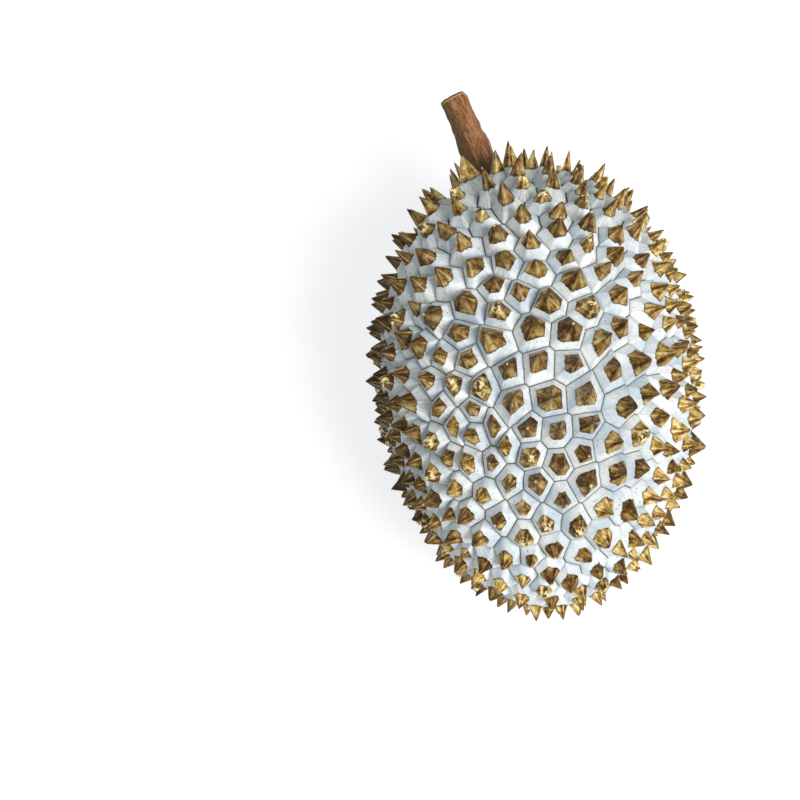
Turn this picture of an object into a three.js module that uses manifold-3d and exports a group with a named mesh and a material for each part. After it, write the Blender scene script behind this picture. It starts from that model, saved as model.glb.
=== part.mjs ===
// A whole durian lying on its side: the spiny fruit, grown as one piece, and the woody stalk it hung from.
// Millimetres, +Z up. The long axis runs along Y with the stalk at the +Y end. The fruit rests on the plane
// z = 0 on a few blunted thorn tips, and the origin is the centre of the bounding box's underside.
import * as THREE from 'three';
import Module from 'manifold-3d';
import { ConvexHull } from 'three/addons/math/ConvexHull.js';
import { mergeVertices } from 'three/addons/utils/BufferGeometryUtils.js';

// --- Driving dimensions -------------------------------------------------------------------------------
// The fruit's body between its thorns
const HALF_LENGTH = 120.5;             // from its middle to either end, along Y
const HALF_WIDTH = 80;                 // along X
const HALF_HEIGHT = 77;                // along Z
const EGG = 0.109;                     // how much wider the stalk half is than the blossom half
const CHAMBERS = 5;                    // seed chambers, which swell the rind a little
const CHAMBER_SWELL = 0.016;           // as a share of the radius
const CHAMBER_TURN = 0.6;              // where the first one lies, in radians round the fruit

// The thorns
const THORNS = 640;
const THORN_RADIUS = 10;               // half the distance between two thorns on the fruit's broad side
const THORN_SIZES = [0.78, 1.22];      // the smallest and biggest, as a share of that
const THORN_HEIGHT = 13.5;              // from groove to tip
const THORN_HEIGHTS = [0.9, 1.08];     // the lowest and highest, as a share of that
const SLIMNESS = 0.75;                 // 0 keeps small thorns as tall as big ones, 1 keeps their proportions
const STALK_END_TALLER = 0.75;         // how much taller the thorns stand at the stalk end, as a share
const SKIRT_HEIGHT = 0.38;             // where a thorn's pale skirt ends, as a share of the thorn's height
const SKIRT_WIDTHS = [0.47, 0.65];     // how wide the thorn is there, as a share of its width at the groove
const CHANCE_LEAN = 0.15;              // sideways lean of a thorn, as a share of its height
const END_LEAN = 0.3;                  // lean of a thorn at either end towards that end
const CROWDING = 0.42;                 // how much closer the thorns stand at the two ends
const SIDE_CROWDING = 0.34;            // how much closer they stand away from the broad side, which faces up
const BROAD_SIDE = [0.4, 0.9];         // cosines of the turn at which that side gives way and is whole
const CROWDING_START = 2.2;            // a higher power keeps the crowding nearer the ends
const SPREAD_STEPS = 22;
const PUSH_REACH = 1.15;               // how near another thorn pushes one away, in the two thorns' radii
const PUSH_SHARE = 0.28;               // how far a thorn gives way at each step
const INNER_SHARE = 0.1;               // keeps a cell's corner inside the triangle of its three thorns

// How the fruit lies: it has rolled a little, onto the thorns that hold it best
const ROLL = THREE.MathUtils.degToRad(2);
const REST_CUT = 2.8;                  // depth to which the lowest thorn tips are blunted

// The stalk
const STALK_AT = new THREE.Vector3(-0.165, 0.985, 0.02).normalize();   // where it leaves the fruit
const STALK_LENGTH = 67;
const STALK_RADIUS = 8.4;
const STALK_BEND = 2.5;                // how far the cut end is bent upwards
const STALK_LEAN = -4.8;               // how far the whole stalk leans, along X, at its cut end
const STALK_SLANT = 3.1;               // how far the cut is out of square, at the rim
const SLANT_TURN = -1;                 // where the cut reaches furthest, in radians round the stalk
const STALK_SIDES = 20;
const COLLAR_HEIGHT = 3;               // the collar on the fruit under the stalk
const COLLAR_RIM = 1.2;                // how far the collar shows round the stalk
const COLLAR_ROOM = 2.1;               // keeps the thorns off it, as a thorn of this size would
const GAP = 0.3;                       // between the stalk and its collar

// --- Random numbers, the same on every run ---------------------------------------------------------------
function randomSource(seed) {
  let state = seed;
  return () => {
    state = (state + 0x6d2b79f5) | 0;
    let t = Math.imul(state ^ (state >>> 15), 1 | state);
    t = (t + Math.imul(t ^ (t >>> 7), 61 | t)) ^ t;
    return ((t ^ (t >>> 14)) >>> 0) / 4294967296;
  };
}
const random = randomSource(14);
const between = (low, high) => low + (high - low) * random();

// --- The fruit's body, without its thorns ------------------------------------------------------------------
// A direction on the unit sphere maps to a point of an egg with its big end at +Y.
function eggPoint(direction) {
  const wide = 1 + EGG * direction.y;
  return new THREE.Vector3(
    HALF_WIDTH * wide * direction.x,
    HALF_LENGTH * direction.y,
    HALF_HEIGHT * wide * direction.z,
  );
}

function directionOf(point) {
  const y = THREE.MathUtils.clamp(point.y / HALF_LENGTH, -1, 1);
  const wide = 1 + EGG * y;
  return new THREE.Vector3(point.x / (HALF_WIDTH * wide), y, point.z / (HALF_HEIGHT * wide)).normalize();
}

function bodyPoint(direction) {
  const around = Math.atan2(direction.z, direction.x);
  const away = 1 - direction.y * direction.y;
  const swell = 1 + CHAMBER_SWELL * away * Math.cos(CHAMBERS * around + CHAMBER_TURN);
  const point = eggPoint(direction);
  point.x *= swell;
  point.z *= swell;
  return point;
}

function bodyNormal(direction) {
  const step = 1e-3;
  const side = new THREE.Vector3(0, 0, 1).cross(direction);
  if (side.length() < 0.1) side.set(1, 0, 0).cross(direction);
  side.normalize();
  const up = new THREE.Vector3().crossVectors(direction, side);
  const at = (along) => bodyPoint(direction.clone().addScaledVector(along, step).normalize());
  const here = bodyPoint(direction);
  return new THREE.Vector3().crossVectors(at(side).sub(here), at(up).sub(here)).normalize();
}

// --- Where the thorns stand ------------------------------------------------------------------------------
// The thorns push each other apart over the body until they are evenly but not regularly spread.
const CLOSEST = 1 - CROWDING;
function closeness(direction) {
  const facing = direction.z / Math.hypot(direction.x, direction.z);
  const aside = 1 - THREE.MathUtils.smoothstep(facing, ...BROAD_SIDE);
  const ends = 1 - CROWDING * Math.abs(direction.y) ** CROWDING_START;
  return Math.min(ends, 1 - SIDE_CROWDING * aside);
}

function spreadThorns() {
  const directions = [STALK_AT.clone()];
  const sizes = [COLLAR_ROOM];
  while (directions.length < THORNS) {
    const d = new THREE.Vector3(between(-1, 1), between(-1, 1), between(-1, 1));
    if (d.length() > 1 || d.length() < 0.1) continue;
    d.normalize();
    if (random() > CLOSEST ** 2 / closeness(d) ** 2) continue;
    directions.push(d);
    sizes.push(between(...THORN_SIZES));
  }
  for (let step = 0; step < SPREAD_STEPS; step++) {
    const points = directions.map(eggPoint);
    points.forEach((p, i) => {
      if (i === 0) return;
      const push = new THREE.Vector3();
      const scale = PUSH_REACH * THORN_RADIUS * closeness(directions[i]);
      points.forEach((q, j) => {
        if (i === j) return;
        const reach = scale * (sizes[i] + sizes[j]);
        const apart = new THREE.Vector3().subVectors(p, q);
        const distance = apart.length();
        if (distance < reach) push.addScaledVector(apart, (reach - distance) / (distance + 1e-6));
      });
      directions[i] = directionOf(p.clone().addScaledVector(push, PUSH_SHARE));
    });
  }
  return directions;
}

// Each thorn's neighbours, and the corners where three thorns meet, come from the convex hull of the thorns'
// places. A cell is the ring of corners round one thorn, in order.
function thornCells(directions) {
  const places = directions.map(eggPoint);
  const indexOf = new Map(places.map((p, i) => [p, i]));
  const hull = new ConvexHull().setFromPoints(places);
  const corners = [];
  const nextCorner = places.map(() => new Map());
  for (const face of hull.faces) {
    const ids = [0, 1, 2].map((k) => indexOf.get(face.getEdge(k).head().point));
    const corner = corners.length;
    corners.push(directionOf(meetingPoint(ids.map((i) => places[i]))));
    // Round thorn ids[k], this corner lies between the neighbours ids[k + 1] and ids[k + 2].
    ids.forEach((id, k) => nextCorner[id].set(ids[(k + 1) % 3], { corner, to: ids[(k + 2) % 3] }));
  }
  const cells = nextCorner.map((ring) => {
    const start = ring.keys().next().value;
    const cell = [];
    let at = start;
    do {
      const { corner, to } = ring.get(at);
      cell.push(corner);
      at = to;
    } while (at !== start);
    return cell;
  });
  return { corners, cells };
}

// The point as far from all three places, kept inside their triangle.
function meetingPoint([a, b, c]) {
  const sides = [b.distanceToSquared(c), c.distanceToSquared(a), a.distanceToSquared(b)];
  const share = sides.map((s, k) => s * (sides[(k + 1) % 3] + sides[(k + 2) % 3] - s));
  const total = share[0] + share[1] + share[2];
  const kept = share.map((s) => Math.max(s / total, INNER_SHARE));
  const sum = kept[0] + kept[1] + kept[2];
  return new THREE.Vector3()
    .addScaledVector(a, kept[0] / sum)
    .addScaledVector(b, kept[1] / sum)
    .addScaledVector(c, kept[2] / sum);
}

// --- The fruit ------------------------------------------------------------------------------------------
function fruitGeometry() {
  const directions = spreadThorns();
  const { corners, cells } = thornCells(directions);
  const positions = [];
  const index = [];
  const addPoint = (p) => positions.push(p.x, p.y, p.z) / 3 - 1;
  const grooves = corners.map(bodyPoint);
  const grooveIds = grooves.map(addPoint);

  cells.forEach((cell, thorn) => {
    const foot = bodyPoint(directions[thorn]);
    const normal = bodyNormal(directions[thorn]);
    const rim = cell.map((corner) => new THREE.Vector3().subVectors(grooves[corner], foot));
    const radius = rim.reduce((sum, r) => sum + r.length(), 0) / rim.length;
    const shape = thorn === 0 ? stalkCollar : thornShape;
    const { ring, tip } = shape(rim, foot, normal, radius);
    const ringIds = ring.map(addPoint);
    const tipId = addPoint(tip);
    cell.forEach((corner, k) => {
      const next = (k + 1) % cell.length;
      const [a, b] = [grooveIds[corner], grooveIds[cell[next]]];
      index.push(a, b, ringIds[next], a, ringIds[next], ringIds[k], ringIds[k], ringIds[next], tipId);
    });
  });

  const geometry = new THREE.BufferGeometry();
  geometry.setAttribute('position', new THREE.Float32BufferAttribute(positions, 3));
  geometry.setIndex(index);
  return geometry;
}

// A thorn is a low skirt with a steeper pyramid on it, leaning a little to one side.
function thornShape(rim, foot, normal, radius) {
  const usual = THORN_HEIGHT * (1 + STALK_END_TALLER * Math.max(0, foot.y / HALF_LENGTH) ** 3);
  const height = usual * (radius / THORN_RADIUS) ** SLIMNESS * between(...THORN_HEIGHTS);
  const width = between(...SKIRT_WIDTHS);
  const aside = new THREE.Vector3(between(-1, 1), between(-1, 1), between(-1, 1)).projectOnPlane(normal);
  const endwards = new THREE.Vector3(0, (foot.y / HALF_LENGTH) ** 3, 0).projectOnPlane(normal);
  const axis = normal.clone().addScaledVector(aside, CHANCE_LEAN).addScaledVector(endwards, END_LEAN);
  const skirt = height * SKIRT_HEIGHT;
  const ring = rim.map((r) => foot.clone().addScaledVector(r, width).addScaledVector(axis, skirt));
  return { ring, tip: foot.clone().addScaledVector(axis, height) };
}

// Under the stalk the fruit rises to a flat round collar, square to the stalk.
function stalkCollar(rim, foot, normal) {
  const top = foot.clone().addScaledVector(normal, COLLAR_HEIGHT);
  const ring = rim.map((r) =>
    top.clone().addScaledVector(r.clone().projectOnPlane(normal).normalize(), STALK_RADIUS + COLLAR_RIM),
  );
  return { ring, tip: top };
}

// --- The stalk -----------------------------------------------------------------------------------------
// A lathed stalk with a flared foot, the knuckle where it would part from the branch, and a cut end,
// bent a little along its length. It is made along +Y from y = 0 and then turned onto its seat.
function stalkGeometry() {
  const profile = [
    [0, 0],
    [1.06, 0],
    [1.08, 0.04],
    [0.98, 0.16],
    [0.95, 0.34],
    [1.0, 0.44],
    [1.05, 0.49],
    [0.98, 0.54],
    [0.9, 0.62],
    [0.87, 0.8],
    [0.86, 0.94],
    [0.84, 0.985],
    [0.77, 1],
    [0, 1],
  ].map(([r, along]) => new THREE.Vector2(r * STALK_RADIUS, along * STALK_LENGTH));
  const geometry = new THREE.LatheGeometry(profile, STALK_SIDES);
  const p = geometry.attributes.position;
  for (let i = 0; i < p.count; i++) {
    const along = p.getY(i) / STALK_LENGTH;
    const around = Math.atan2(p.getZ(i), p.getX(i));
    const uneven = 1 + 0.035 * Math.sin(2 * around + 1) + 0.025 * Math.sin(3 * around + 5 * along);
    const bend = STALK_BEND * along * along;
    const outwards = Math.hypot(p.getX(i), p.getZ(i)) / STALK_RADIUS;
    const slant = STALK_SLANT * outwards * along ** 16 * Math.cos(around - SLANT_TURN);
    p.setXYZ(i, p.getX(i) * uneven + STALK_LEAN * along, p.getY(i) + slant, p.getZ(i) * uneven + bend);
  }
  return geometry;
}

// --- Solids: the thorn tips under the rest plane are blunted with a boolean cut ---------------------------
const wasm = await Module();
wasm.setup();

function toSolid(geometry) {
  const bare = geometry.clone();
  bare.deleteAttribute('normal');
  bare.deleteAttribute('uv');
  const merged = mergeVertices(bare, 1e-3);
  return new wasm.Manifold(
    new wasm.Mesh({
      numProp: 3,
      vertProperties: merged.attributes.position.array,
      triVerts: new Uint32Array(merged.index.array),
    }),
  );
}

function toGeometry(solid) {
  const mesh = solid.getMesh();
  const geometry = new THREE.BufferGeometry();
  geometry.setAttribute('position', new THREE.BufferAttribute(new Float32Array(mesh.vertProperties), 3));
  geometry.setIndex(new THREE.BufferAttribute(new Uint32Array(mesh.triVerts), 1));
  return geometry;
}

function cutBelow(geometry, level) {
  const reach = 4 * HALF_LENGTH;
  const below = new THREE.BoxGeometry(reach, reach, reach).translate(0, 0, level - reach / 2);
  return toGeometry(toSolid(geometry).subtract(toSolid(below)));
}

const lowest = (geometry) => {
  geometry.computeBoundingBox();
  return geometry.boundingBox.min.z;
};

// --- Assembly --------------------------------------------------------------------------------------------
const roll = new THREE.Quaternion().setFromAxisAngle(new THREE.Vector3(0, 1, 0), ROLL);
const whole = fruitGeometry().applyQuaternion(roll);
const restLevel = lowest(whole) + REST_CUT;
const fruit = new THREE.Mesh(
  cutBelow(whole, restLevel),
  new THREE.MeshStandardMaterial({ color: 0xc9c9bd, roughness: 0.8, metalness: 0 }),
);
fruit.name = 'fruit';

const stalk = new THREE.Mesh(
  stalkGeometry(),
  new THREE.MeshStandardMaterial({ color: 0x9c6744, roughness: 0.85, metalness: 0 }),
);
stalk.name = 'stalk';
const seatNormal = bodyNormal(STALK_AT);
stalk.position.copy(bodyPoint(STALK_AT)).addScaledVector(seatNormal, COLLAR_HEIGHT + GAP);
stalk.position.applyQuaternion(roll);
stalk.quaternion.setFromUnitVectors(new THREE.Vector3(0, 1, 0), seatNormal).premultiply(roll);

const durian = new THREE.Group();
durian.add(fruit, stalk);
const box = new THREE.Box3().setFromObject(durian, true);
const middle = box.getCenter(new THREE.Vector3());
durian.position.set(-middle.x, -middle.y, -restLevel);

export default durian;
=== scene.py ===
"""A whole durian on a pale floor: its spiny fruit and woody stalk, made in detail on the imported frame."""

import math
import random

import bmesh
import bpy
import numpy as np
from mathutils import Matrix, Vector, noise
from mathutils.bvhtree import BVHTree


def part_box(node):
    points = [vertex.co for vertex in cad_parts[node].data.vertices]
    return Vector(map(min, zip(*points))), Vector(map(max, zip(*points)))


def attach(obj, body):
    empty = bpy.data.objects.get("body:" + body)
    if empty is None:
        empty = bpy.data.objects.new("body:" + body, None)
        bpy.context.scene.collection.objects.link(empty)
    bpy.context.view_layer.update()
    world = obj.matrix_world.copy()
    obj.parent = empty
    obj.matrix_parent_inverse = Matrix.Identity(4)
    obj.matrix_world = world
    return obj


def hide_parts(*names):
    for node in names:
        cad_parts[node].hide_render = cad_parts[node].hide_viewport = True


MM = 0.001

# The fruit's fine mesh. A cell is one thorn's polygon of rind, out to the grooves round it.
WELD = 0.01 * MM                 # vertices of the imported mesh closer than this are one
SIDE_STEP = 2.15 * MM            # usual width of one column of faces along a cell's side
SIDE_STEPS = (2, 7)              # the fewest and the most columns along one side
GROOVE_DEPTH = 0.55 * MM
STALK_END_GROOVES = 3.5          # what is added to it at the stalk end, as a multiple of it
GROOVE_DEPTH_VARIETY = 0.35      # how much the depth varies, as a share of it
GROOVE_WAVER = 0.35 * MM         # how far a groove wanders from a straight line
LIP_WIDTH = 0.55 * MM            # from the middle of a groove to the edge of the rind
LIP_LIFT = 0.12 * MM
SKIRT_ROW = 0.42                 # where the skirt's middle row lies, from groove to golden tip
SKIRT_BULGE = 0.28 * MM
GOLD_ROWS = (0.30, 0.62, 0.86)   # where the golden tip's rows lie, from its foot to its point
GOLD_BULGE = (-0.05, 0.10)       # how far a golden tip's flanks curve out, as a share of its width
STALK_END_BULGE = 0.08           # how much rounder they are at the stalk end
STALK_END_PINCH = 0.42           # how much slimmer they are there, as a share
TOP_SPREAD = 0.20                # how much wider they are on top of the fruit, as a share
SIDE_SPREAD = 0.16               # and on its left and right flanks
FLANK = (0.65, 0.90)             # where the flanks start and are full, as shares of the fruit's half width
POINT_ROUND = 0.25 * MM          # how blunt a whole thorn's point is
FACET_HOLLOW = 0.10              # how far a flank is dished between two ridges, as a share of its width
RIB_RELIEF = 0.10 * MM
EDGE_JAG = 0.45 * MM             # raggedness of the line where the rind ends and gold starts
BROKEN_SHARE = 0.17              # of the thorns, those with a crumbled tip
BROKEN_LOSS = (0.10, 0.35)       # how much of the golden tip has crumbled away
BROKEN_JAG = 0.8 * MM
HOOK = 1.5 * MM                  # how far a thorn's point bends aside at most
ISLAND_FILL = 0.47               # radius of a cell's island in its baked image, as a share of its square
THORN_SEED = 5

# How big the features of each kind of unevenness are.
GROOVE_WAVER_SIZE = 4 * MM
GROOVE_DEPTH_SIZE = 6 * MM
EDGE_JAG_SIZE = 2.2 * MM
BROKEN_JAG_SIZE = 1.2 * MM
RIB_SIZE = 0.35                  # round a circle of radius 1

# How far along a cell each of its rows is: groove, lip, skirt, gold's edge, the gold rows and the tip.
ALONG = (0.0, 0.1, 0.3, 0.5, 0.65, 0.81, 0.93, 1.0)
COLLAR_ALONG = (0.0, 0.05, 0.1, 0.2, 0.2, 0.2, 0.2, 0.2)
COLLAR_FLANK_ROWS = (0.12, 0.5, 1.0)

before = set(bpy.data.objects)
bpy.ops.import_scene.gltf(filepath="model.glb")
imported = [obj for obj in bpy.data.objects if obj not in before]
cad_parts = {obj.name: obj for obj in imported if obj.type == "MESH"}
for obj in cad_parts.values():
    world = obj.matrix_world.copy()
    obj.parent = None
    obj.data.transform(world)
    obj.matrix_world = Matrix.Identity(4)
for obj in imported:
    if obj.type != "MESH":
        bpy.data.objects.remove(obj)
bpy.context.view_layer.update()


# --- Reading the thorns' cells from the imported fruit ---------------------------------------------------


def welded(node):
    """The node's mesh as a bmesh whose shared vertices are joined."""
    mesh = bmesh.new()
    mesh.from_mesh(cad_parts[node].data)
    bmesh.ops.remove_doubles(mesh, verts=mesh.verts, dist=WELD)
    mesh.verts.index_update()
    mesh.faces.ensure_lookup_table()
    mesh.verts.ensure_lookup_table()
    mesh.normal_update()
    return mesh


CORNER_EDGES = 9                 # edges at a vertex where three cells meet, and how many run to its like
CORNER_LIKE = 3
TIP_SPREAD = 0.3                 # the least that a real tip's flanks face apart, as a singular value


def groove_corners(mesh):
    """The vertices where three cells meet."""
    many = {v.index for v in mesh.verts if len(v.link_edges) == CORNER_EDGES}
    corners = set()
    for i in many:
        vertex = mesh.verts[i]
        like = sum(edge.other_vert(vertex).index in many for edge in vertex.link_edges)
        if like >= CORNER_LIKE:
            corners.add(i)
    return corners


def islands(mesh, walls):
    """Vertex index to island number, for the islands that the walls' vertices part."""
    island = {}
    count = 0
    for seed in mesh.verts:
        if seed.index in walls or seed.index in island:
            continue
        island[seed.index] = count
        stack = [seed]
        while stack:
            for edge in stack.pop().link_edges:
                for v in edge.verts:
                    if v.index not in walls and v.index not in island:
                        island[v.index] = count
                        stack.append(v)
        count += 1
    return island


def read_cells():
    """Each cell as {"corners": ids, "rim": points, "ring": points, "tip": point, "collar": bool}.
    The rim's points lie in the grooves, the ring's where the golden tip starts, in the same order."""
    mesh = welded("fruit")
    walls = groove_corners(mesh)
    island = islands(mesh, walls)
    rims = {}
    facets = {}
    for face in mesh.faces:
        ids = [v.index for v in face.verts]
        outer = [i for i in ids if i in walls]
        inner = [i for i in ids if i not in walls]
        cell = island[inner[0]]
        if len(outer) == 2:
            turn = ids.index(inner[0])
            first, second = ids[(turn + 1) % 3], ids[(turn + 2) % 3]
            rims.setdefault(cell, {})[first] = (second, inner[0])
        if not outer:
            facets.setdefault(cell, []).append(face)
    cells = []
    for cell, steps in rims.items():
        at = min(steps, key=lambda i: tuple(mesh.verts[i].co))
        corners, ring = [], []
        while at not in corners:
            corners.append(at)
            at, ring_vertex = steps[at]
            ring.append(ring_vertex)
        ring = ring[-1:] + ring[:-1]
        cells.append(
            {
                "corners": corners,
                "rim": np.array([mesh.verts[i].co for i in corners]),
                "ring": np.array([mesh.verts[i].co for i in ring]),
                **read_tip(mesh, facets[cell], set(ring)),
            }
        )
    mesh.free()
    return sorted(cells, key=lambda c: tuple(np.round(c["rim"].mean(0), 4)))


def read_tip(mesh, facets, ring):
    """The point that the flanks over the ring would meet in, whether or not it was blunted."""
    flanks = [f for f in facets if sum(v.index in ring for v in f.verts) == 2]
    inner = {v.index for f in facets for v in f.verts} - ring
    centre = np.mean([mesh.verts[i].co for i in ring], axis=0)
    normals = np.array([f.normal for f in flanks] or [(0, 0, 1)])
    if not inner or np.linalg.svd(normals)[1][-1] < TIP_SPREAD:
        return {"tip": centre, "collar": True}
    level = np.array([f.normal.dot(f.verts[0].co) for f in flanks])
    tip = np.linalg.lstsq(normals, level, rcond=None)[0]
    return {"tip": tip, "collar": False}


# --- The fruit's fine mesh -----------------------------------------------------------------------------

fruit_low, fruit_high = (np.array(corner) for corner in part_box("fruit"))
fruit_middle = (fruit_low + fruit_high) / 2
fruit_half = (fruit_high - fruit_low) / 2


def fruit_place(points):
    """Where points lie in the fruit, -1 to 1 along each axis."""
    return (points - fruit_middle) / fruit_half


def unit(vectors):
    """The vectors at length 1."""
    return vectors / np.maximum(np.linalg.norm(vectors, axis=-1, keepdims=True), 1e-12)


def outward(points):
    """Unit vectors square to the fruit's smooth body, near enough."""
    return unit((points - fruit_middle) / fruit_half**2)


def waver(points, size, seed=0.0):
    """Smooth noise, -1 to 1, at each point, with features about as big as size."""
    flat = points.reshape(-1, 3) / size
    values = [noise.noise(Vector(p) + Vector((seed, 0, 0))) for p in flat]
    return np.array(values).reshape(points.shape[:-1] + (1,))


class Grooves:
    """The vertices in the grooves, which neighbouring cells share."""

    def __init__(self):
        self.points = []
        self.index = {}

    def add(self, key, point):
        if key not in self.index:
            self.index[key] = len(self.points)
            self.points.append(point)
        return self.index[key]

    def side(self, start, end, start_point, end_point):
        """Vertex numbers from corner start up to, but not with, corner end."""
        numbers = [self.add((start,), start_point)]
        shares = side_shares(start_point, end_point)
        for step, share in list(enumerate(shares))[1:]:
            forward = start < end
            key = (start, end, step) if forward else (end, start, len(shares) - step)
            numbers.append(self.add(key, start_point * (1 - share) + end_point * share))
        return numbers


def side_shares(start_point, end_point):
    """Where a side's columns stand, 0 to 1: closer at its ends, so that a thorn's ridges stay crisp."""
    steps = round(np.linalg.norm(end_point - start_point) / SIDE_STEP)
    steps = min(max(steps, SIDE_STEPS[0]), SIDE_STEPS[1])
    return (1 - np.cos(math.pi * np.arange(steps) / steps)) / 2


def cell_columns(cell):
    """For each column of a cell: its place along its side, 0 to 1, and its point on the ring."""
    shares = [side_shares(*side) for side in zip(cell["rim"], np.roll(cell["rim"], -1, axis=0))]
    steps = [len(side) for side in shares]
    here = np.repeat(cell["ring"], steps, axis=0)
    there = np.repeat(np.roll(cell["ring"], -1, axis=0), steps, axis=0)
    shares = np.concatenate(shares)[:, None]
    return shares, here * (1 - shares) + there * shares


def golden_foot(cell, rim):
    """The line where a thorn's gold starts, one point a column, wider or narrower by the thorn's place."""
    foot = cell["ring"].mean(0)
    place = fruit_place(foot)
    stalk_end = max(0, place[1])
    flank = np.clip((abs(place[0]) - FLANK[0]) / (FLANK[1] - FLANK[0]), 0, 1)
    upward = max(0, place[2]) ** 4
    spread = (1 - STALK_END_PINCH * stalk_end) * (1 + SIDE_SPREAD * flank) * (1 + TOP_SPREAD * upward)
    edge = foot + (cell_columns(cell)[1] - foot) * spread
    slope = unit(edge - rim)
    return edge + slope * EDGE_JAG * waver(edge, EDGE_JAG_SIZE), slope


def thorn_rows(cell, rim, chance):
    """The rows of points of one thorn, from the edge of its groove up to its last row, and its tip."""
    shares = cell_columns(cell)[0]
    gold_edge, slope = golden_foot(cell, rim)
    foot = cell["ring"].mean(0)
    rise = cell["tip"] - foot
    axis = rise / np.linalg.norm(rise)
    stalk_end = max(0, fruit_place(foot)[1])
    reach = np.linalg.norm(gold_edge - rim, axis=-1, keepdims=True)
    width = np.linalg.norm(gold_edge - foot, axis=-1).mean()
    normal = outward(rim)
    rows = [
        rim + slope * LIP_WIDTH + normal * LIP_LIFT,
        rim + slope * reach * SKIRT_ROW + normal * SKIRT_BULGE,
        gold_edge,
    ]
    around = np.linspace(0, 2 * math.pi, len(rim), endpoint=False)
    circle = np.stack([np.cos(around), np.sin(around), np.full(len(rim), chance.uniform(0, 9))], -1)
    ribs = waver(circle, RIB_SIZE) * RIB_RELIEF
    bulge = chance.uniform(*GOLD_BULGE) + STALK_END_BULGE * stalk_end**2
    broken = chance.random() < BROKEN_SHARE
    kept = 1 - chance.uniform(*BROKEN_LOSS) if broken else 1.0
    aside = unit(np.cross(axis, [chance.uniform(-1, 1) for _ in range(3)]))
    hook = HOOK * chance.random() ** 2
    for level in GOLD_ROWS:
        level *= kept
        row = gold_edge + (cell["tip"] - gold_edge) * level
        out = unit(row - (foot + rise * level))
        hollow = np.sin(math.pi * shares) * (1 - level) * FACET_HOLLOW
        swell = width * (4 * level * (1 - level) * bulge - hollow)
        row = row + out * (swell + ribs * (1 - level) + POINT_ROUND * level**3)
        rows.append(row + aside * hook * level**2)
    tip = cell["tip"] + aside * hook
    if broken:
        rows[-1] = rows[-1] + axis * BROKEN_JAG * waver(rows[-1], BROKEN_JAG_SIZE)
        tip = rows[-1].mean(0) - axis * BROKEN_JAG * chance.random() / 2
    return rows, tip, broken


def collar_rows(cell, rim):
    """The rows of the low collar under the stalk: up its flank, then in over its flat top."""
    _, edge = cell_columns(cell)
    middle = cell["ring"].mean(0)
    rows = [rim + (edge - rim) * share for share in COLLAR_FLANK_ROWS]
    rows += [edge + (middle - edge) * share for share in GOLD_ROWS]
    return rows, middle, False


def island_map(grid, tip, number, atlas_side):
    """The cell's island: where each of its vertices lies in the image that colours are baked to.
    The islands stand in a square of atlas_side by atlas_side."""
    up = np.concatenate([grid[1:], np.broadcast_to(tip, grid[:1].shape)]) - grid
    radius = np.cumsum(np.linalg.norm(up, axis=-1)[::-1], axis=0)[::-1]
    step = np.linalg.norm(np.roll(grid[0], -1, axis=0) - grid[0], axis=-1)
    turn = 2 * math.pi * (np.cumsum(step) - step) / step.sum()
    middle = (np.array(divmod(number, atlas_side)) + 0.5) / atlas_side
    around = np.stack([np.cos(turn), np.sin(turn)], -1)
    spread = radius[..., None] / radius.max() * ISLAND_FILL / atlas_side
    return middle + around * spread, middle, turn


def lay_grooves(cells):
    """Gives each cell its "columns", the numbers of the vertices round its rim. Returns the rims' points,
    and the same points sunk to the bottom of the grooves."""
    grooves = Grooves()
    for cell in cells:
        ends = np.roll(cell["rim"], -1, axis=0)
        following = cell["corners"][1:] + cell["corners"][:1]
        sides = zip(cell["corners"], following, cell["rim"], ends)
        cell["columns"] = np.array([number for side in sides for number in grooves.side(*side)])
    rim = np.array(grooves.points)
    aside = [waver(rim, GROOVE_WAVER_SIZE, seed) for seed in (0, 40, 80)]
    rim = rim + GROOVE_WAVER * np.concatenate(aside, -1)
    stalk_end = np.clip(fruit_place(rim)[:, 1:2], 0, 1)
    depth = GROOVE_DEPTH * (1 + STALK_END_GROOVES * stalk_end**2)
    variety = 1 + GROOVE_DEPTH_VARIETY * waver(rim, GROOVE_DEPTH_SIZE, 20)
    return rim, rim - outward(rim) * depth * variety


MARKS = ("along", "from_rim", "broken", "collar", "ridge")
FACTS = 6                        # numbers that each corner of a face holds: make_piece says which


def cell_marks(cell, grid, along, broken):
    """The MARKS of a cell's own vertices, row by row, and of its tip."""
    from_rim = np.linalg.norm(grid - grid[0], axis=-1) / MM
    rows = np.zeros((len(grid) - 1, grid.shape[1], len(MARKS)))
    rows[..., 0] = np.array(along[1:-1])[:, None]
    rows[..., 1] = from_rim[1:]
    rows[..., 2] = broken
    rows[..., 3] = cell["collar"]
    rows[..., 4] = np.abs(2 * cell_columns(cell)[0].T - 1)
    tip = [[along[-1], from_rim.max(), broken, cell["collar"], 0]]
    return [rows.reshape(-1, len(MARKS)), tip]


def cell_facts(uv, turn, along, own):
    """What the corners of a cell's faces say, for each vertex of its grid, in make_piece's order."""
    facts = np.zeros((*uv.shape[:2], FACTS))
    facts[..., :2] = uv
    facts[..., 2] = np.cos(turn)
    facts[..., 3] = np.sin(turn)
    facts[..., 4] = np.array(along[:-1])[:, None]
    facts[..., 5] = own
    return facts


def ring_of(values):
    """For each quad between the rows of a grid, the values at its four corners."""
    after = np.roll(np.arange(values.shape[1]), -1)
    low, high = values[:-1], values[1:]
    return np.stack([low, low[:, after], high[:, after], high], 2)


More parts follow.
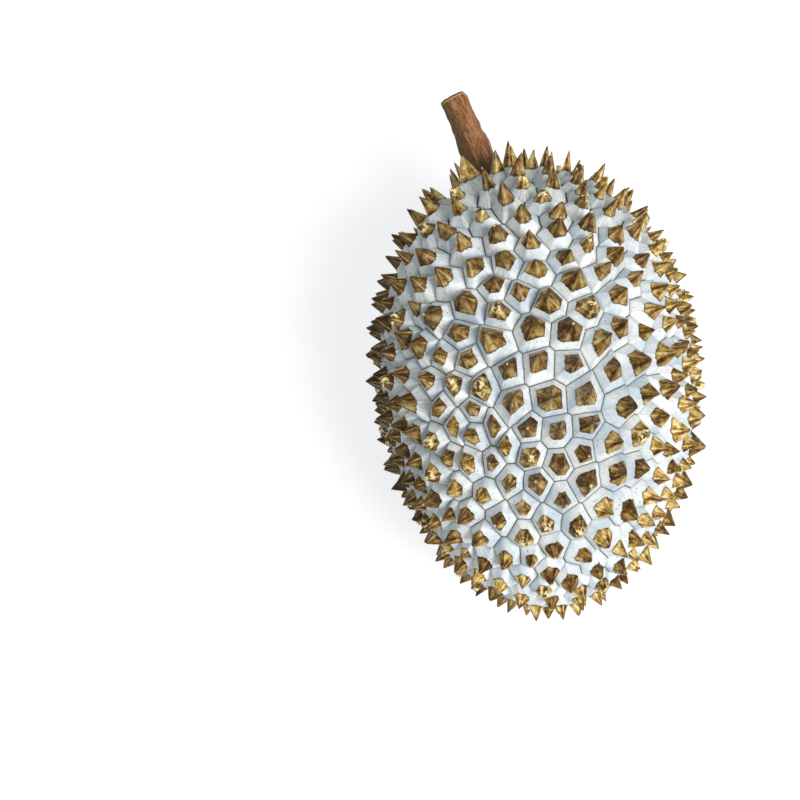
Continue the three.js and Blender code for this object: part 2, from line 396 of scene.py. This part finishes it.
def build_fruit():
    cells = read_cells()
    atlas_side = math.ceil(math.sqrt(len(cells)))
    rim, sunk = lay_grooves(cells)
    points = [sunk]
    marks = [np.zeros((len(rim), len(MARKS)))]
    quads, triangles = [], []
    quad_facts, triangle_facts = [], []
    count = len(rim)
    chance = random.Random(THORN_SEED)
    for number, cell in enumerate(cells):
        columns = cell["columns"]
        width = len(columns)
        if cell["collar"]:
            along = COLLAR_ALONG
            rows, tip, broken = collar_rows(cell, rim[columns])
        else:
            along = ALONG
            rows, tip, broken = thorn_rows(cell, rim[columns], chance)
        grid = np.stack([rim[columns], *rows])
        points += [grid[1:].reshape(-1, 3), [tip]]
        marks += cell_marks(cell, grid, along, broken)

        ids = np.concatenate([columns, count + np.arange(width * len(rows))]).reshape(-1, width)
        tip_id = count + width * len(rows)
        count = tip_id + 1
        uv, uv_middle, turn = island_map(grid, tip, number, atlas_side)
        facts = cell_facts(uv, turn, along, chance.random())
        quads.append(ring_of(ids).reshape(-1, 4))
        quad_facts.append(ring_of(facts).reshape(-1, FACTS))

        after = np.roll(np.arange(width), -1)
        triangles.append(np.stack([ids[-1], ids[-1][after], np.full(width, tip_id)], -1))
        top = (facts[-1] + facts[-1][after]) / 2
        top[:, :2] = uv_middle
        top[:, 4] = along[-1]
        triangle_facts.append(np.stack([facts[-1], facts[-1][after], top], 1).reshape(-1, FACTS))

    points = np.concatenate(points)
    points[:, 2] = np.maximum(points[:, 2], 0)
    faces = [face for part in quads + triangles for face in part.tolist()]
    corners = np.concatenate(quad_facts + triangle_facts)
    marks = np.concatenate(marks)
    return make_piece("fruit_rind", points, faces, dict(zip(MARKS, marks.T)), corners)


def make_piece(name, points, faces, marks, corners):
    """A smooth mesh object. Each of marks is one number a vertex. corners holds FACTS numbers for each face
    corner: its place in the baked image (2), the direction round the thorn or stalk (2), the share along it,
    and a number of the thorn's own."""
    mesh = bpy.data.meshes.new(name)
    mesh.from_pydata(points.tolist(), [], faces)
    mesh.update()
    for mark, values in marks.items():
        mesh.attributes.new(mark, "FLOAT", "POINT").data.foreach_set("value", values.astype(np.float32))
    uv = mesh.uv_layers.new(name="OFBake")
    uv.uv.foreach_set("vector", corners[:, :2].astype(np.float32).ravel())
    grain = mesh.attributes.new("grain", "FLOAT_VECTOR", "CORNER")
    grain.data.foreach_set("vector", corners[:, 2:5].astype(np.float32).ravel())
    own = mesh.attributes.new("own", "FLOAT", "CORNER")
    own.data.foreach_set("value", corners[:, 5].astype(np.float32))
    mesh.shade_smooth()
    piece = bpy.data.objects.new(name, mesh)
    bpy.context.scene.collection.objects.link(piece)
    return piece


# --- The stalk's fine mesh -----------------------------------------------------------------------------

STALK_AROUND = 96                # faces round the stalk, and along it
STALK_ROWS = 110
STALK_SINK = 0.9 * MM            # how far the stalk's foot reaches into the collar
FOOT_SLICE = 0.5 * MM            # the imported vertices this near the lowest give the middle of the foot
CUT_SLICE = 3 * MM               # and those this near the highest give the middle of the cut
MEASURED = (0.004, 0.94)         # its radius is read between these shares of its length
CUT_INSIDE = 0.9                 # the cut's height is read at this share of the radius
# The bumps in the bark: their size, and their height.
BARK_RELIEF = ((6.0 * MM, 0.6 * MM), (2.2 * MM, 0.4 * MM), (1.0 * MM, 0.2 * MM))
BARK_STRETCH = 2.6               # how much longer than wide the bumps are
BARK_SEED = 7
BARK_THICKER = 0.5 * MM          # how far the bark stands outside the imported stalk
# Where along the stalk each swelling is, how high it is, and how long as a share of the stalk.
KNUCKLES = ((0.58, 0.5 * MM, 0.03), (0.74, 0.4 * MM, 0.04))
CHIP_DEPTH = 5.0 * MM            # how far the cut falls away at its right-hand corner
CHIP_START = 0.35                # how far right that starts, as a share of the radius
CHIP_REACH = 0.6                 # and how much further right it is full
CUT_RELIEF = 0.22 * MM
CUT_RELIEF_SIZE = 2.2 * MM
CUT_INSET = (0.97, 0.86, 0.70, 0.53, 0.36, 0.18)   # radii of the rings of points across the cut

# The stalk in the image that colours are baked to, a square of side 1.
WALL_MARGIN = 0.02
WALL_WIDTH = 0.7
WALL_HEIGHT = 0.96
CUT_MIDDLE = (0.86, 0.5)
CUT_RADIUS = 0.11
FOOT_MIDDLE = (0.86, 0.2)
FOOT_RADIUS = 0.05


class StalkShape:
    """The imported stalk, measured outwards from a line through it."""

    def __init__(self):
        mesh = welded("stalk")
        points = np.array([v.co for v in mesh.verts])
        self.tree = BVHTree.FromBMesh(mesh)
        mesh.free()
        axis = np.linalg.svd(points - points.mean(0))[2][0]
        self.axis = axis * np.sign(axis[1])
        reach = (points - points.mean(0)) @ self.axis
        self.foot = points[reach < reach.min() + FOOT_SLICE].mean(0)
        self.cut = points[reach > reach.max() - CUT_SLICE].mean(0)
        self.length = np.linalg.norm(self.cut - self.foot)
        self.side = unit(np.cross(self.axis, [0, 0, 1]))
        self.over = np.cross(self.axis, self.side)

    def middle(self, share):
        """The point of the line at this share of the length."""
        return self.foot + (self.cut - self.foot) * share

    def radius(self, share, spoke):
        """How far the stalk's surface is from the line there, along the spoke."""
        middle = self.middle(share)
        hit = self.tree.ray_cast(Vector(middle), Vector(spoke))[0]
        return np.linalg.norm(np.array(hit) - middle)

    def cut_height(self, offset):
        """How high the cut is over this offset from the middle, as a share of the length."""
        above = self.cut + offset + self.axis * self.length
        hit = self.tree.ray_cast(Vector(above), Vector(-self.axis))[0]
        return (np.array(hit) - self.foot) @ self.axis / self.length

    def local(self, points, stretch):
        """The points along side, over and axis, shortened along the axis by stretch."""
        points = points - self.foot
        return np.stack([points @ self.side, points @ self.over, points @ self.axis / stretch], -1)


def knuckle_height(share):
    """How far the swellings lift the bark at this share of the stalk."""
    return sum(high * math.exp(-(((share - at) / wide) ** 2)) for at, high, wide in KNUCKLES)


def build_stalk():
    """Rows of points from the foot up the bark and in over the cut, the cut's middle, the foot's middle, and
    the angle of each column."""
    stalk = StalkShape()
    turn = np.linspace(0, 2 * math.pi, STALK_AROUND, endpoint=False)
    spokes = np.cos(turn)[:, None] * stalk.side + np.sin(turn)[:, None] * stalk.over
    top_radii = np.array([stalk.radius(MEASURED[1], spoke) for spoke in spokes])[:, None]
    top = np.array([stalk.cut_height(offset) for offset in spokes * top_radii * CUT_INSIDE])
    chip = np.clip((np.cos(turn) - CHIP_START) / CHIP_REACH, 0, 1)
    top = top - CHIP_DEPTH / stalk.length * chip
    rows = []
    for row in range(STALK_ROWS + 1):
        share = row / STALK_ROWS
        shares = np.clip(share * top, *MEASURED)
        radii = np.array([stalk.radius(s, spoke) for s, spoke in zip(shares, spokes)])[:, None]
        heights = -STALK_SINK + share * (top * stalk.length + STALK_SINK)
        centre = stalk.middle((heights / stalk.length)[:, None])
        rows.append(centre + spokes * (radii + BARK_THICKER + knuckle_height(share)))
    rows = np.array(rows)
    for size, relief in BARK_RELIEF:
        rows = rows + spokes * relief * waver(stalk.local(rows, BARK_STRETCH), size, BARK_SEED)
    rim = rows[-1]
    middle = rim.mean(0)
    inner = [middle + (rim - middle) * inset for inset in CUT_INSET]
    inner = [ring + stalk.axis * CUT_RELIEF * waver(ring, CUT_RELIEF_SIZE) for ring in inner]
    return np.concatenate([rows, inner]), middle, stalk.foot - stalk.axis * STALK_SINK, turn


def stalk_facts(height, turns):
    """The facts of the grid's vertices, with the first column again at the end, and those of the rows across
    the cut, whose place in the baked image is another one."""
    wall = height - len(CUT_INSET)
    facts = np.zeros((height, len(turns), FACTS))
    facts[:, :, 2] = np.cos(turns)
    facts[:, :, 3] = np.sin(turns)
    facts[:wall, :, 4] = np.linspace(0, 1, wall)[:, None]
    facts[wall:, :, 4] = 1
    facts[:wall, :, 0] = WALL_MARGIN + WALL_WIDTH * turns / (2 * math.pi)
    facts[:wall, :, 1] = WALL_MARGIN + WALL_HEIGHT * np.linspace(0, 1, wall)[:, None]
    radii = np.array([1.0, *CUT_INSET])[:, None, None] * CUT_RADIUS
    ring = np.stack([np.cos(turns), np.sin(turns)], -1)
    cut_facts = facts[wall - 1 :].copy()
    cut_facts[:, :, :2] = np.array(CUT_MIDDLE) + radii * ring
    return facts[:wall], cut_facts


def strip_corners(facts):
    """For each quad between the rows of facts, the facts of its four corners."""
    low, high = facts[:-1], facts[1:]
    return np.stack([low[:, :-1], low[:, 1:], high[:, 1:], high[:, :-1]], 2).reshape(-1, FACTS)


def cap(ids, hub, facts, hub_place, upward):
    """The triangles that close a ring of vertices round its hub, and their corners' facts. They face along
    the stalk if upward, or else back."""
    after = np.roll(np.arange(len(ids)), -1)
    hub_facts = (facts[:-1] + facts[1:]) / 2
    hub_facts[:, :2] = hub_place
    loops = [(ids, facts[:-1]), (ids[after], facts[1:])]
    if not upward:
        loops.reverse()
    loops.append((np.full(len(ids), hub), hub_facts))
    faces = np.stack([loop[0] for loop in loops], -1).tolist()
    return faces, np.stack([loop[1] for loop in loops], 1).reshape(-1, FACTS)


def stalk_piece():
    grid, middle, foot, turn = build_stalk()
    height, width = grid.shape[:2]
    wall = height - len(CUT_INSET)
    ids = np.arange(height * width).reshape(height, width)
    turns = np.append(turn, 2 * math.pi)
    wall_facts, cut_facts = stalk_facts(height, turns)

    middle_id, foot_id = height * width, height * width + 1
    foot_edge = wall_facts[0].copy()
    foot_edge[:, :2] = np.array(FOOT_MIDDLE) + FOOT_RADIUS * np.stack([np.cos(turns), np.sin(turns)], -1)
    cut_faces, cut_corners = cap(ids[-1], middle_id, cut_facts[-1], CUT_MIDDLE, True)
    foot_faces, foot_corners = cap(ids[0], foot_id, foot_edge, FOOT_MIDDLE, False)
    faces = ring_of(ids).reshape(-1, 4).tolist() + cut_faces + foot_faces
    corners = [strip_corners(wall_facts), strip_corners(cut_facts), cut_corners, foot_corners]

    up_wall = np.repeat(np.linspace(0, 1, wall), width)
    across_cut = np.repeat(1 - np.array(CUT_INSET), width)
    marks = {
        "along": np.concatenate([up_wall, np.ones(len(across_cut)), [1, 0]]),
        "cut": np.concatenate([np.zeros(len(up_wall)), across_cut, [1, 0]]),
    }
    points = np.concatenate([grid.reshape(-1, 3), [middle, foot]])
    return make_piece("stalk_bark", points, faces, marks, np.concatenate(corners))


# --- Materials -----------------------------------------------------------------------------------------


def colour(red, green, blue):
    """A colour as a screen shows it, 0 to 255 each, in the linear numbers a shader takes."""
    shares = [channel / 255 for channel in (red, green, blue)]
    return (*(s / 12.92 if s < 0.04045 else ((s + 0.055) / 1.055) ** 2.4 for s in shares), 1.0)


GLOSS = 0.2                      # every surface here is nearly matt


class Surface:
    """A material under construction, with one short method for each kind of node it is made of."""

    def __init__(self, name):
        self.material = bpy.data.materials.new(name)
        self.material.use_nodes = True
        self.nodes = self.material.node_tree.nodes
        self.links = self.material.node_tree.links
        self.shader = self.nodes["Principled BSDF"]
        self.place = self.nodes.new("ShaderNodeTexCoord").outputs["Object"]

    def fill(self, socket, value):
        """Links the socket to the value if that is a node's output, or else sets it."""
        if isinstance(value, bpy.types.NodeSocket):
            self.links.new(value, socket)
        else:
            socket.default_value = value

    def mark(self, name, output="Fac"):
        """What the mesh says about itself at this point."""
        node = self.nodes.new("ShaderNodeAttribute")
        node.attribute_name = name
        return node.outputs[output]

    def across(self, axis, vector=None):
        """The vector's part along an axis, or without a vector how far along it this point lies."""
        node = self.nodes.new("ShaderNodeSeparateXYZ")
        self.fill(node.inputs[0], vector or self.place)
        return node.outputs[axis]

    def calc(self, operation, *values):
        """One sum, product or the like of the values."""
        node = self.nodes.new("ShaderNodeMath")
        node.operation = operation
        for socket, value in zip(node.inputs, values):
            self.fill(socket, value)
        return node.outputs[0]

    def stretch(self, vector, scale, shift=0.0):
        """The vector times scale, with shift added all round."""
        node = self.nodes.new("ShaderNodeVectorMath")
        node.operation = "MULTIPLY_ADD"
        self.fill(node.inputs[0], vector)
        node.inputs[1].default_value = scale
        is_socket = isinstance(shift, bpy.types.NodeSocket)
        self.fill(node.inputs[2], shift if is_socket else (shift,) * 3)
        return node.outputs[0]

    def noise(self, size, detail=2.0, roughness=0.5, where=None):
        """Cloudy noise around 0.5 with features about as big as size."""
        node = self.nodes.new("ShaderNodeTexNoise")
        self.fill(node.inputs["Vector"], where or self.place)
        node.inputs["Scale"].default_value = 1 / size
        node.inputs["Detail"].default_value = detail
        node.inputs["Roughness"].default_value = roughness
        return node.outputs[0]

    def cells(self, size):
        """Distance to the nearest of many scattered points."""
        node = self.nodes.new("ShaderNodeTexVoronoi")
        self.fill(node.inputs["Vector"], self.place)
        node.inputs["Scale"].default_value = 1 / size
        return node.outputs["Distance"]

    def between(self, value, start, end, low=0.0, high=1.0):
        """A smooth step: low at start, high at end, and level beyond."""
        node = self.nodes.new("ShaderNodeMapRange")
        node.interpolation_type = "SMOOTHSTEP"
        for socket, number in zip(node.inputs, (value, start, end, low, high)):
            self.fill(socket, number)
        return node.outputs[0]

    def ramp(self, value, *stops):
        """A colour for each value: stops are (value, colour) pairs."""
        node = self.nodes.new("ShaderNodeValToRGB")
        self.fill(node.inputs[0], value)
        elements = node.color_ramp.elements
        while len(elements) < len(stops):
            elements.new(0.5)
        for element, (position, tint) in zip(elements, stops):
            element.position = position
            element.color = tint
        return node.outputs[0]

    def mixed(self, kind, share, first, second):
        """What mix and blend share: kind is RGBA for colours and FLOAT for numbers."""
        node = self.nodes.new("ShaderNodeMix")
        node.data_type = kind
        suffix = {"RGBA": "Color", "FLOAT": "Float"}[kind]
        inputs = {socket.identifier: socket for socket in node.inputs}
        self.fill(inputs["Factor_Float"], share)
        self.fill(inputs["A_" + suffix], first)
        self.fill(inputs["B_" + suffix], second)
        return next(socket for socket in node.outputs if socket.identifier == "Result_" + suffix)

    def mix(self, share, first, second):
        """The first colour, or the second one where share is 1."""
        return self.mixed("RGBA", share, first, second)

    def blend(self, share, first, second):
        """The same for two numbers."""
        return self.mixed("FLOAT", share, first, second)

    def bump(self, height, relief, under=None):
        """A normal for a height map, 0 to 1, whose full height is relief; under is the bump below it."""
        node = self.nodes.new("ShaderNodeBump")
        node.inputs["Distance"].default_value = relief
        self.fill(node.inputs["Height"], height)
        if under:
            self.fill(node.inputs["Normal"], under)
        return node.outputs[0]

    def finish(self, base, roughness, normal):
        self.shader.inputs["Specular IOR Level"].default_value = GLOSS
        self.fill(self.shader.inputs["Base Color"], base)
        self.fill(self.shader.inputs["Roughness"], roughness)
        self.fill(self.shader.inputs["Normal"], normal)
        return self.material


# The skin gets painted shade, and its dark groove lines widen into painted shadow in the deep grooves, from
# the first y to the second, in metres.
STALK_END_SHADE = (0.0, 0.08)
CLEFT_SHADOW_WIDTH = 0.7                # by how much painted shadow widens the dark groove lines there, mm
LEFT_FLANK_SHADE = (-0.035, -0.085)    # painted shade: the skin grows darker, and the thorns browner in their hollows, from the first x to the second
TOP_SHADE = (0.125, 0.165)             # painted shade: the thorns also grow browner from the first height to the second
RIGHT_FLANK = (0.05, 0.085)      # the skin reaches further up the thorns from the first x to the second
SKIN_PALE = colour(236, 239, 240)
SKIN_COOL = colour(202, 213, 224)
SKIN_GREEN = colour(172, 182, 170)
SKIN_WARM = colour(206, 202, 186)
GROOVE_SHADE = colour(152, 162, 150)
GROOVE_LINE = colour(58, 66, 54)
SPECK = colour(88, 80, 66)
THORN_BROWN = colour(60, 38, 14)
THORN_OCHRE = colour(143, 108, 48)
THORN_GOLD = colour(206, 166, 84)
THORN_PALE = colour(246, 226, 164)
# pale crumbs on broken tips, and a painted highlight on some points
THORN_CRUMB_AND_HIGHLIGHT = colour(248, 230, 170)
THORN_DARK_TIP = colour(70, 42, 22)
COLLAR_OLIVE = colour(112, 98, 54)


def rind_skin(rind):
    """The chalky skin: mottled, faintly streaked down each thorn, with painted shade near grooves, stalk end
    and left flank.
    """
    from_rim = rind.mark("from_rim")
    cloudy = rind.noise(14 * MM, 3, 0.6)
    skin = rind.mix(rind.between(cloudy, 0.35, 0.62), SKIN_COOL, SKIN_PALE)
    down_thorn = rind.stretch(rind.mark("grain", "Vector"), (8.0, 8.0, 1.6), rind.mark("own"))
    streaks = rind.noise(1.0, 3, 0.65, down_thorn)
    skin = rind.mix(rind.between(streaks, 0.5, 0.7, 0.0, 0.45), skin, SKIN_GREEN)
    skin = rind.mix(rind.between(streaks, 0.5, 0.3, 0.0, 0.35), skin, SKIN_WARM)
    blotch = rind.noise(2.4 * MM, 5, 0.7)
    skin = rind.mix(rind.between(blotch, 0.52, 0.7, 0.0, 0.6), skin, SKIN_GREEN)
    # painted shade: the skin darkens towards the stalk end and on the left flank
    stalk_end_shade = rind.between(rind.across("Y"), *STALK_END_SHADE)
    shaded_area = rind.calc("MAXIMUM", stalk_end_shade, rind.between(rind.across("X"), *LEFT_FLANK_SHADE))
    shade = rind.calc("MULTIPLY", shaded_area, rind.between(streaks, 0.4, 0.6, 0.1, 0.7))
    skin = rind.mix(shade, skin, GROOVE_SHADE)
    wander = rind.calc("MULTIPLY_ADD", blotch, 1.6, -0.8)
    near_groove = rind.calc("ADD", from_rim, wander)
    # painted shade: the skin darkens towards each groove
    skin = rind.mix(rind.between(near_groove, 0.3, 1.4, 0.45, 0.0), skin, GROOVE_SHADE)
    line = rind.calc("ADD", from_rim, rind.calc("MULTIPLY_ADD", blotch, 0.3, -0.15))
    # painted shadow in the deep grooves by the stalk: the dark groove lines widen there
    cleft_shadow = rind.calc("MULTIPLY", stalk_end_shade, rind.between(blotch, 0.4, 0.6, 0.4, 1.0))
    line = rind.calc("MULTIPLY_ADD", cleft_shadow, -CLEFT_SHADOW_WIDTH, line)
    skin = rind.mix(rind.between(line, 0.26, 0.5, 1.0, 0.0), skin, GROOVE_LINE)
    specks = rind.cells(5 * MM)
    return rind.mix(rind.between(specks, 0.05, 0.1, 0.8, 0.0), skin, SPECK), blotch


def thorn_gold(rind):
    """The golden thorn: fine fibres from its edge to its tip, browner towards the tip, with painted
    highlights on its ridges.
    Broken tips are crumbly and pale. About a third of all thorns are dark at the very point, and about a
    fifth are
    pale there: partly crumbled, partly a painted highlight."""
    along = rind.mark("along")
    own = rind.mark("own")
    grain = rind.mark("grain", "Vector")
    fibres = rind.noise(1.0, 4, 0.65, rind.stretch(grain, (8.0, 8.0, 2.6), own))
    facets = rind.noise(1.0, 1, 0.5, rind.stretch(grain, (1.6, 1.6, 0.8), own))
    patches = rind.noise(3.2 * MM, 4, 0.6)
    tone = rind.calc("ADD", rind.calc("MULTIPLY", fibres, 0.16), rind.calc("MULTIPLY", patches, 0.44))
    tone = rind.calc("ADD", tone, rind.calc("MULTIPLY", facets, 0.40))
    # painted highlight: the gold is paler along the thorns' ridges
    tone = rind.calc("ADD", tone, rind.between(rind.mark("ridge"), 0.8, 1.0, -0.01, 0.045))
    gold = rind.ramp(
        tone,
        (0.41, THORN_BROWN),
        (0.475, THORN_OCHRE),
        (0.53, THORN_GOLD),
        (0.60, THORN_PALE),
    )
    gold = rind.mix(rind.between(along, 0.62, 0.98, 0.0, 0.4), gold, THORN_BROWN)
    gold = rind.mix(rind.between(own, 0.2, 1.0, 0.0, 0.3), gold, THORN_BROWN)
    # painted shade on the left flank: the thorns' hollows turn brown there, while their ridges keep more
    # gold
    hollow = rind.between(rind.mark("ridge"), 0.7, 0.95, 0.9, 0.2)
    gold = rind.mix(rind.between(rind.across("X"), *LEFT_FLANK_SHADE, 0.0, hollow), gold, THORN_BROWN)
    # painted shade: thorns on top of the fruit turn browner
    gold = rind.mix(rind.between(rind.across("Z"), *TOP_SHADE, 0.0, 0.42), gold, THORN_BROWN)
    crumbs = rind.noise(2.2 * MM, 3, 0.6)
    crumbly = rind.calc("MULTIPLY", rind.mark("broken"), rind.between(along, 0.62, 0.8))
    crumbly = rind.calc("MULTIPLY", crumbly, rind.between(crumbs, 0.5, 0.56))
    gold = rind.mix(crumbly, gold, THORN_CRUMB_AND_HIGHLIGHT)
    tip = rind.between(along, 0.93, 0.975)
    dark_tip = rind.calc("MULTIPLY", tip, rind.between(own, 0.34, 0.35, 0.9, 0.0))
    gold = rind.mix(dark_tip, gold, THORN_DARK_TIP)
    # pale points: partly crumbled, partly a painted highlight
    crumb_and_highlight_tip = rind.calc("MULTIPLY", tip, rind.between(own, 0.8, 0.81, 0.0, 0.9))
    return rind.mix(crumb_and_highlight_tip, gold, THORN_CRUMB_AND_HIGHLIGHT), fibres


def rind_material():
    """Skin below each thorn's ragged golden edge, gold above it, and olive on the collar under the stalk."""
    rind = Surface("rind")
    skin, blotch = rind_skin(rind)
    gold, fibres = thorn_gold(rind)
    ragged = rind.calc("MULTIPLY_ADD", rind.noise(1.3 * MM, 3, 0.6), 0.12, -0.06)
    level = rind.calc("ADD", rind.mark("along"), ragged)
    level = rind.calc("SUBTRACT", level, rind.between(rind.across("X"), *RIGHT_FLANK, 0.0, 0.05))
    is_gold = rind.between(level, 0.485, 0.505)
    edge_line = rind.calc("MULTIPLY", is_gold, rind.between(level, 0.5, 0.55, 0.75, 0.0))
    gold = rind.mix(edge_line, gold, THORN_BROWN)
    base = rind.mix(is_gold, skin, gold)
    base = rind.mix(rind.mark("collar"), base, rind.mix(blotch, COLLAR_OLIVE, THORN_BROWN))
    normal = rind.bump(is_gold, 0.25 * MM)
    normal = rind.bump(rind.calc("MULTIPLY", is_gold, fibres), 0.4 * MM, normal)
    normal = rind.bump(rind.noise(0.7 * MM, 3, 0.6), 0.14 * MM, normal)
    normal = rind.bump(blotch, 0.3 * MM, normal)
    skin_roughness = rind.between(blotch, 0.3, 0.7, 0.62, 0.8)
    gold_roughness = rind.between(fibres, 0.3, 0.7, 0.52, 0.36)
    return rind.finish(base, rind.blend(is_gold, skin_roughness, gold_roughness), normal)


BARK_RED = colour(136, 86, 52)
BARK_TAN = colour(180, 130, 92)
BARK_DARK = colour(52, 34, 20)
# olive: the bark's colour at its foot, and painted shade on its left side
BARK_OLIVE = colour(84, 68, 38)
BARK_BLOOM = colour(206, 200, 196)
WOOD_PALE = colour(206, 176, 128)
WOOD_BROWN = colour(150, 108, 66)


def bark_material():
    """Fibrous red-brown bark, olive at its foot and in painted shade on its left, with pale bloom; ringed
    wood on the cut.
    """
    bark = Surface("bark")
    along = bark.mark("along")
    cut = bark.mark("cut")
    grain = bark.mark("grain", "Vector")
    grit = bark.noise(1.1 * MM, 4, 0.7)
    patches = bark.noise(0.35, 5, 0.65, bark.stretch(grain, (1.5, 1.5, 2.0)))
    fibres = bark.noise(0.35, 3, 0.6, bark.stretch(grain, (4.0, 4.0, 2.4)))
    tone = bark.calc("ADD", bark.calc("MULTIPLY", grit, 0.35), bark.calc("MULTIPLY", patches, 0.3))
    base = bark.ramp(
        bark.calc("ADD", tone, bark.calc("MULTIPLY", fibres, 0.35)),
        (0.38, BARK_DARK),
        (0.46, BARK_RED),
        (0.56, BARK_TAN),
    )
    rightward = bark.across("X", grain)
    # painted shade: the bark turns olive on the stalk's left side
    ragged = bark.calc("ADD", rightward, bark.calc("MULTIPLY_ADD", patches, 2.0, -1.0))
    base = bark.mix(bark.between(ragged, -0.8, -0.2, 0.8, 0.0), base, BARK_OLIVE)
    foot = bark.calc("ADD", along, bark.calc("MULTIPLY_ADD", patches, 0.3, -0.15))
    base = bark.mix(bark.between(foot, 0.26, 0.42, 0.85, 0.0), base, BARK_OLIVE)
    bloom = bark.calc("MULTIPLY", bark.between(foot, 0.34, 0.4), bark.between(foot, 0.46, 0.52, 1.0, 0.0))
    bloom = bark.calc("MULTIPLY", bloom, bark.between(rightward, 0.3, 0.8, 0.0, 0.6))
    base = bark.mix(bark.calc("MULTIPLY", bloom, bark.between(grit, 0.4, 0.5)), base, BARK_BLOOM)
    outward_rings = bark.stretch(grain, (0.4, 0.4, 0.0), bark.calc("MULTIPLY", cut, 9.0))
    rings = bark.noise(1.0, 2, 0.5, outward_rings)
    wood = bark.mix(bark.between(rings, 0.4, 0.6), WOOD_BROWN, WOOD_PALE)
    base = bark.mix(bark.between(cut, 0.04, 0.14), base, wood)
    base = bark.mix(bark.between(along, 0.965, 0.975, 0.0, 0.6), base, WOOD_PALE)
    base = bark.mix(bark.between(along, 0.98, 0.988, 0.0, 0.8), base, BARK_DARK)
    normal = bark.bump(patches, 0.8 * MM)
    normal = bark.bump(fibres, 0.7 * MM, normal)
    normal = bark.bump(grit, 0.5 * MM, normal)
    return bark.finish(base, bark.between(grit, 0.3, 0.7, 0.72, 0.9), normal)


fruit = build_fruit()
fruit.data.materials.append(rind_material())
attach(fruit, "root")
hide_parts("fruit")

stalk = stalk_piece()
stalk.data.materials.append(bark_material())
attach(stalk, "root")
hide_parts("stalk")


# --- Floor, light and camera ---------------------------------------------------------------------------

FLOOR_SIZE = 12.0
FLOOR = (colour(166, 167, 169), colour(173, 173, 173))   # its two faintly mottled tints
FLOOR_LIT = colour(248, 249, 251)
FLOOR_MOTTLE = 0.4               # how big the patches of tint are, metres
FLOOR_RELIEF = 0.1 * MM
FLOOR_ROUGHNESS = 0.9
FLOOR_GLOW = 0.74                # keeps the floor near white in the fruit's shadow
SKY_LIGHT = 0.42
SKY_TINT = (0.95, 0.975, 1.0, 1.0)
LIGHTS = (                       # where each light comes from, its strength, softness and tint
    ("key", (0.47, -0.58, 0.78), 2.95, 26, (1.0, 0.985, 0.96)),
    ("fill", (-0.3, 0.6, 0.8), 0.2, 60, (0.93, 0.97, 1.0)),
)
CAMERA_DISTANCE = 1.0            # metres from the middle of the fruit
CAMERA_AZIMUTH = math.radians(-4)
CAMERA_ELEVATION = math.radians(63)
CAMERA_SENSOR = 36               # mm wide
CAMERA_LENS = 82.9               # mm
AIM_LEFT = 0.0734                # how far left of the fruit's middle, and below it, the camera points
AIM_BELOW = 0.0146


def build_floor():
    half = FLOOR_SIZE / 2
    mesh = bpy.data.meshes.new("floor")
    corners = [(-half, -half, 0), (half, -half, 0), (half, half, 0), (-half, half, 0)]
    mesh.from_pydata(corners, [], [(0, 1, 2, 3)])
    floor = bpy.data.objects.new("floor", mesh)
    bpy.context.scene.collection.objects.link(floor)
    surface = Surface("floor")
    faint = surface.noise(FLOOR_MOTTLE)
    tint = surface.mix(faint, *FLOOR)
    surface.shader.inputs["Emission Color"].default_value = FLOOR_LIT
    surface.shader.inputs["Emission Strength"].default_value = FLOOR_GLOW
    normal = surface.bump(faint, FLOOR_RELIEF)
    mesh.materials.append(surface.finish(tint, FLOOR_ROUGHNESS, normal))
    return floor


def build_light(name, source, strength, softness, tint):
    light = bpy.data.lights.new(name, "SUN")
    light.energy = strength
    light.angle = math.radians(softness)
    light.color = tint
    lamp = bpy.data.objects.new(name, light)
    lamp.rotation_euler = Vector(source).to_track_quat("Z", "Y").to_euler()
    bpy.context.scene.collection.objects.link(lamp)
    return lamp


def build_camera():
    turn, rise = CAMERA_AZIMUTH, CAMERA_ELEVATION
    back = Vector((math.sin(turn) * math.cos(rise), -math.cos(turn) * math.cos(rise), math.sin(rise)))
    right = Vector((math.cos(turn), math.sin(turn), 0))
    above = back.cross(right)
    middle = Vector(fruit_middle)
    place = middle + back * CAMERA_DISTANCE
    look = place - (middle - right * AIM_LEFT - above * AIM_BELOW)
    lens = bpy.data.cameras.new("camera")
    lens.sensor_width = CAMERA_SENSOR
    lens.lens = CAMERA_LENS
    camera = bpy.data.objects.new("camera", lens)
    look = look.normalized()
    across = above.cross(look).normalized()
    camera.matrix_world = Matrix((across, look.cross(across), look)).transposed().to_4x4()
    camera.location = place
    bpy.context.scene.collection.objects.link(camera)
    bpy.context.scene.camera = camera


stage = [build_floor()] + [build_light(*facts) for facts in LIGHTS]
build_camera()

world = bpy.data.worlds.new("studio")
world.use_nodes = True
sky = world.node_tree.nodes["Background"]
sky.inputs["Color"].default_value = SKY_TINT
sky.inputs["Strength"].default_value = SKY_LIGHT
bpy.context.scene.world = world
bpy.context.scene.view_settings.view_transform = "Standard"
